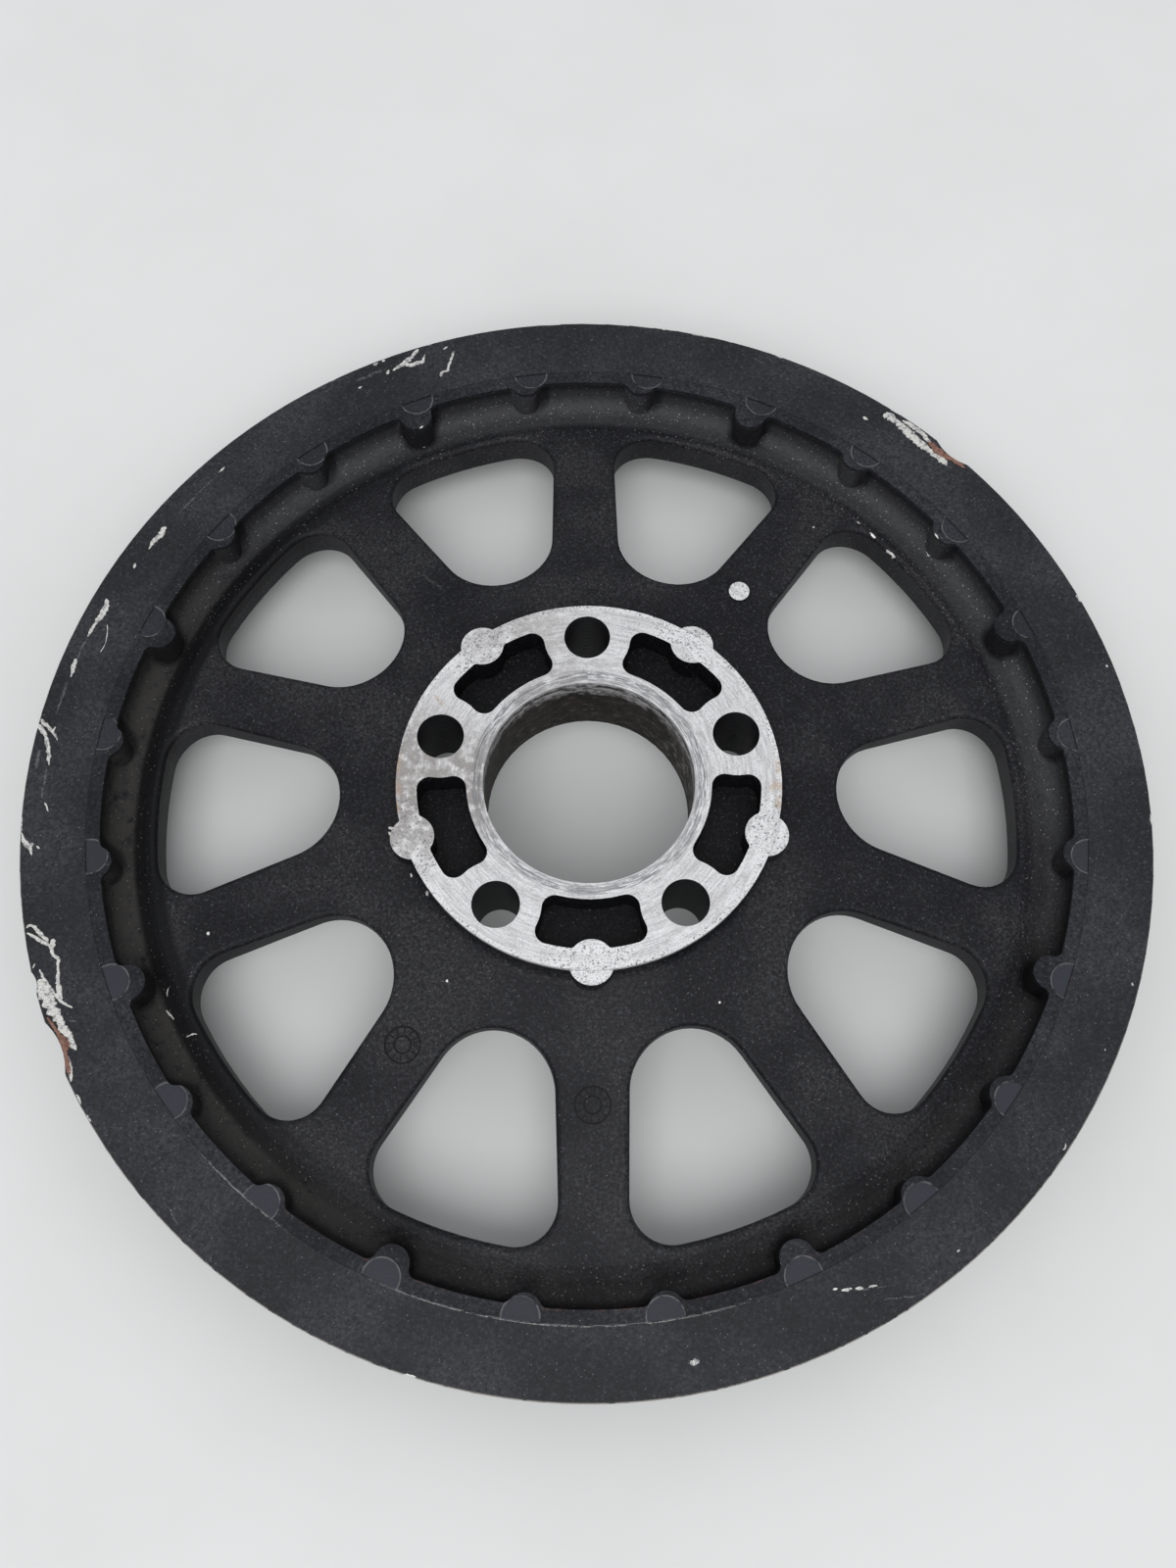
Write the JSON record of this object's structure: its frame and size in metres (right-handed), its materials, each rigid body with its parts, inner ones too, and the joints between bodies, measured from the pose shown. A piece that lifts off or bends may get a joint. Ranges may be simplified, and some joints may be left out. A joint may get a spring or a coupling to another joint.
{
  "type": "rear drive belt pulley",
  "caption": "Toothed rear drive belt pulley with side flanges, a spoked dished web and a machined hub with centre bore and bolt holes, that turns a motorcycle's rear wheel.",
  "frame": {"origin": "on the pulley's axis, level with the outer face of the cast back flange", "axes": "+Z along the axis out of the machined hub face, +Y from the axis through one bolt hole, +X to the right of it seen from +Z"},
  "size_m": [0.305, 0.305, 0.047],
  "materials": {
    "casting": "satin",
    "ring": "satin"
  },
  "bodies": {
    "root": {"pulley_casting": "casting", "flange_ring": "ring"}
  },
  "joints": []
}
